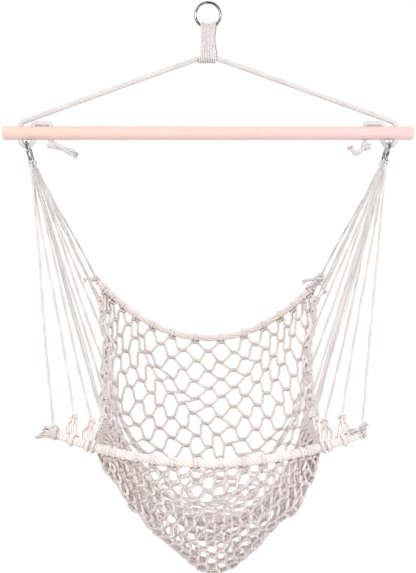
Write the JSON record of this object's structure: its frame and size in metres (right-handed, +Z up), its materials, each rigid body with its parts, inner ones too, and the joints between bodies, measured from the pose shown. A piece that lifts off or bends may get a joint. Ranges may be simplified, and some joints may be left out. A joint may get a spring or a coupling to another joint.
{
  "type": "hammock chair",
  "caption": "Hanging chair: a knotted cotton net seat between two edge ropes, hung by cords and steel rings from a round wooden bar, with a rope hanger up to a top ring.",
  "frame": {"origin": "inside top of the hanging ring, where the hook that carries the chair bears", "axes": "+Z up, the bar lies along X, and the sitter looks along -Y"},
  "size_m": [0.91, 0.7259, 1.2331],
  "materials": {
    "rope": "undyed laid cotton, matt and slightly hairy",
    "wood": "pale turned softwood, bare and satin",
    "steel": "polished round wire"
  },
  "bodies": {
    "ring": {"hanging_ring": "steel"},
    "hanger": {"ring_lashing": "rope", "hanger_rope": "rope", "spreader_bar": "wood", "stopper_knot_left": "rope", "stopper_knot_right": "rope"},
    "seat": {"back_corner_knot_left": "rope", "back_corner_knot_right": "rope", "back_rope": "rope", "front_corner_knot_left": "rope", "front_corner_knot_right": "rope", "front_rope": "rope", "harness_cord_left_1": "rope", "harness_cord_left_10": "rope", "harness_cord_left_2": "rope", "harness_cord_left_3": "rope", "harness_cord_left_4": "rope", "harness_cord_left_5": "rope", "harness_cord_left_6": "rope", "harness_cord_left_7": "rope", "harness_cord_left_8": "rope", "harness_cord_left_9": "rope", "harness_cord_right_1": "rope", "harness_cord_right_10": "rope", "harness_cord_right_2": "rope", "harness_cord_right_3": "rope", "harness_cord_right_4": "rope", "harness_cord_right_5": "rope", "harness_cord_right_6": "rope", "harness_cord_right_7": "rope", "harness_cord_right_8": "rope", "harness_cord_right_9": "rope", "seat_net": "rope", "side_lacing_left": "rope", "side_lacing_right": "rope", "side_ring_left": "steel", "side_ring_right": "steel"}
  },
  "joints": [
    {"name": "hanger_swing", "type": "hinge", "parent": "ring", "child": "hanger", "pos_m": [0, 0, -0.05135], "axis": [1, 0, 0], "range_deg": [-25, 25]},
    {"name": "seat_swing", "type": "hinge", "parent": "hanger", "child": "seat", "pos_m": [0, 0, -0.316], "axis": [1, 0, 0], "range_deg": [-20, 20]}
  ]
}
